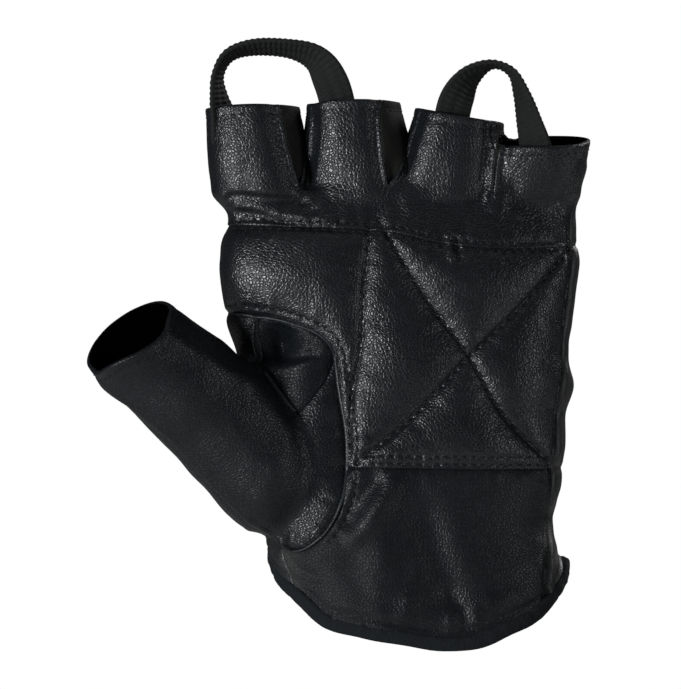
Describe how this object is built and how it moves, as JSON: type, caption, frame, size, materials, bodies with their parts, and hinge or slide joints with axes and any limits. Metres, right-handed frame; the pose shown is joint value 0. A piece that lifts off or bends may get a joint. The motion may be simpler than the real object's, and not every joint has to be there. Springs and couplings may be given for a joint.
{
  "type": "fingerless riding glove",
  "caption": "Left-hand fingerless leather glove, filled out as if worn, with a quilted padded palm, set-in thumb, short open finger stalls, bound wrist and woven pull loops.",
  "frame": {"origin": "middle of the wrist opening, on the axis of the hand that fills the glove", "axes": "+Z towards the fingertips, the palm faces -Y, the thumb points to -X"},
  "size_m": [0.141, 0.0572, 0.1715],
  "materials": {
    "glove_leather": "fine-grained leather, semi-gloss",
    "padded_leather": "fine-grained leather, semi-gloss, padded and stitched",
    "back_leather": "fine-grained leather, semi-gloss",
    "welt_leather": "smooth leather welt",
    "side_cloth": "matt cloth",
    "binding_cloth": "matt folded tape",
    "woven_tape": "ribbed woven tape"
  },
  "bodies": {
    "root": {"finger_panel": "glove_leather", "palm_pad": "padded_leather", "heel_panel": "glove_leather", "thumb_panel": "glove_leather", "thumb_gusset": "glove_leather", "back_panel": "back_leather", "fourchette_index_middle": "side_cloth", "fourchette_middle_ring": "side_cloth", "fourchette_ring_little": "side_cloth", "thumb_piping": "welt_leather", "gusset_piping": "welt_leather", "wrist_binding": "binding_cloth", "closure_tab": "back_leather", "pull_loop_index_middle": "woven_tape", "pull_loop_ring_little": "woven_tape"}
  },
  "joints": []
}
